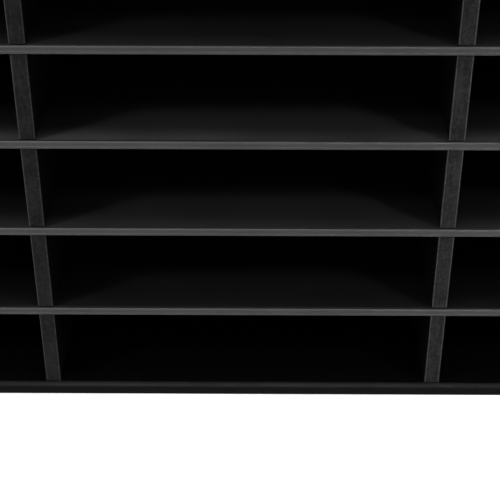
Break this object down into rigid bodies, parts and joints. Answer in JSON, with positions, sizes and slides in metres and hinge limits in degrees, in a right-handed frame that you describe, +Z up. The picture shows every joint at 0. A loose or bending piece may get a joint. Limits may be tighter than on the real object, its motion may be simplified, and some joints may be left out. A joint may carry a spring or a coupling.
{
  "type": "pigeonhole mail sorter",
  "caption": "Wide black desk-top case with an open front, divided by upright boards and thin removable shelves into flat pigeonholes for sorting mail and paper.",
  "frame": {"origin": "on the table under the middle of the case: centre of the width and depth, underside of the base", "axes": "+X along the width, to the right as seen from the open front; +Y from the front to the back; +Z up"},
  "size_m": [0.7238, 0.3, 0.4712],
  "materials": {
    "board_laminate": "black laminated board, satin",
    "divider_board": "black board with painted, slightly speckled edges, matte",
    "hardboard": "smooth black hardboard, satin",
    "edge_band": "black plastic edge band, satin",
    "shelf_trim": "charcoal grey plastic moulding, satin",
    "screw_cap": "black plastic, fine matte",
    "fastener": "black finished steel"
  },
  "bodies": {
    "case": {"base_panel": "board_laminate", "top_panel": "board_laminate", "left_side": "board_laminate", "right_side": "board_laminate", "back_panel": "hardboard", "base_edge_band": "edge_band", "top_edge_band": "edge_band", "left_edge_band": "edge_band", "right_edge_band": "edge_band", "left_divider": "divider_board", "right_divider": "divider_board", "corner_screw_left_base_front": "fastener", "corner_screw_left_base_rear": "fastener", "corner_screw_left_top_front": "fastener", "corner_screw_left_top_rear": "fastener", "corner_screw_right_base_front": "fastener", "corner_screw_right_base_rear": "fastener", "corner_screw_right_top_front": "fastener", "corner_screw_right_top_rear": "fastener", "screw_cap_left_base_front": "screw_cap", "screw_cap_left_base_rear": "screw_cap", "screw_cap_left_top_front": "screw_cap", "screw_cap_left_top_rear": "screw_cap", "screw_cap_right_base_front": "screw_cap", "screw_cap_right_base_rear": "screw_cap", "screw_cap_right_top_front": "screw_cap", "screw_cap_right_top_rear": "screw_cap", "divider_screw_left_front": "fastener", "divider_screw_left_rear": "fastener", "divider_screw_right_front": "fastener", "divider_screw_right_rear": "fastener", "back_pin_1": "fastener", "back_pin_2": "fastener", "back_pin_3": "fastener", "back_pin_4": "fastener", "back_pin_5": "fastener", "back_pin_6": "fastener", "back_pin_7": "fastener", "back_pin_8": "fastener", "back_pin_9": "fastener", "back_pin_10": "fastener", "back_pin_11": "fastener", "back_pin_12": "fastener"},
    "loose_shelf_1": {"shelf_1": "hardboard", "shelf_trim_1": "shelf_trim"},
    "loose_shelf_2": {"shelf_2": "hardboard", "shelf_trim_2": "shelf_trim"},
    "loose_shelf_3": {"shelf_3": "hardboard", "shelf_trim_3": "shelf_trim"},
    "loose_shelf_4": {"shelf_4": "hardboard", "shelf_trim_4": "shelf_trim"},
    "loose_shelf_5": {"shelf_5": "hardboard", "shelf_trim_5": "shelf_trim"},
    "loose_shelf_6": {"shelf_6": "hardboard", "shelf_trim_6": "shelf_trim"},
    "loose_shelf_7": {"shelf_7": "hardboard", "shelf_trim_7": "shelf_trim"}
  },
  "joints": [
    {"name": "shelf_1_slide", "type": "slide", "parent": "case", "child": "loose_shelf_1", "axis": [0, -1, 0], "range_m": [0, 0.3]},
    {"name": "shelf_2_slide", "type": "slide", "parent": "case", "child": "loose_shelf_2", "axis": [0, -1, 0], "range_m": [0, 0.3]},
    {"name": "shelf_3_slide", "type": "slide", "parent": "case", "child": "loose_shelf_3", "axis": [0, -1, 0], "range_m": [0, 0.3]},
    {"name": "shelf_4_slide", "type": "slide", "parent": "case", "child": "loose_shelf_4", "axis": [0, -1, 0], "range_m": [0, 0.3]},
    {"name": "shelf_5_slide", "type": "slide", "parent": "case", "child": "loose_shelf_5", "axis": [0, -1, 0], "range_m": [0, 0.3]},
    {"name": "shelf_6_slide", "type": "slide", "parent": "case", "child": "loose_shelf_6", "axis": [0, -1, 0], "range_m": [0, 0.3]},
    {"name": "shelf_7_slide", "type": "slide", "parent": "case", "child": "loose_shelf_7", "axis": [0, -1, 0], "range_m": [0, 0.3]}
  ]
}
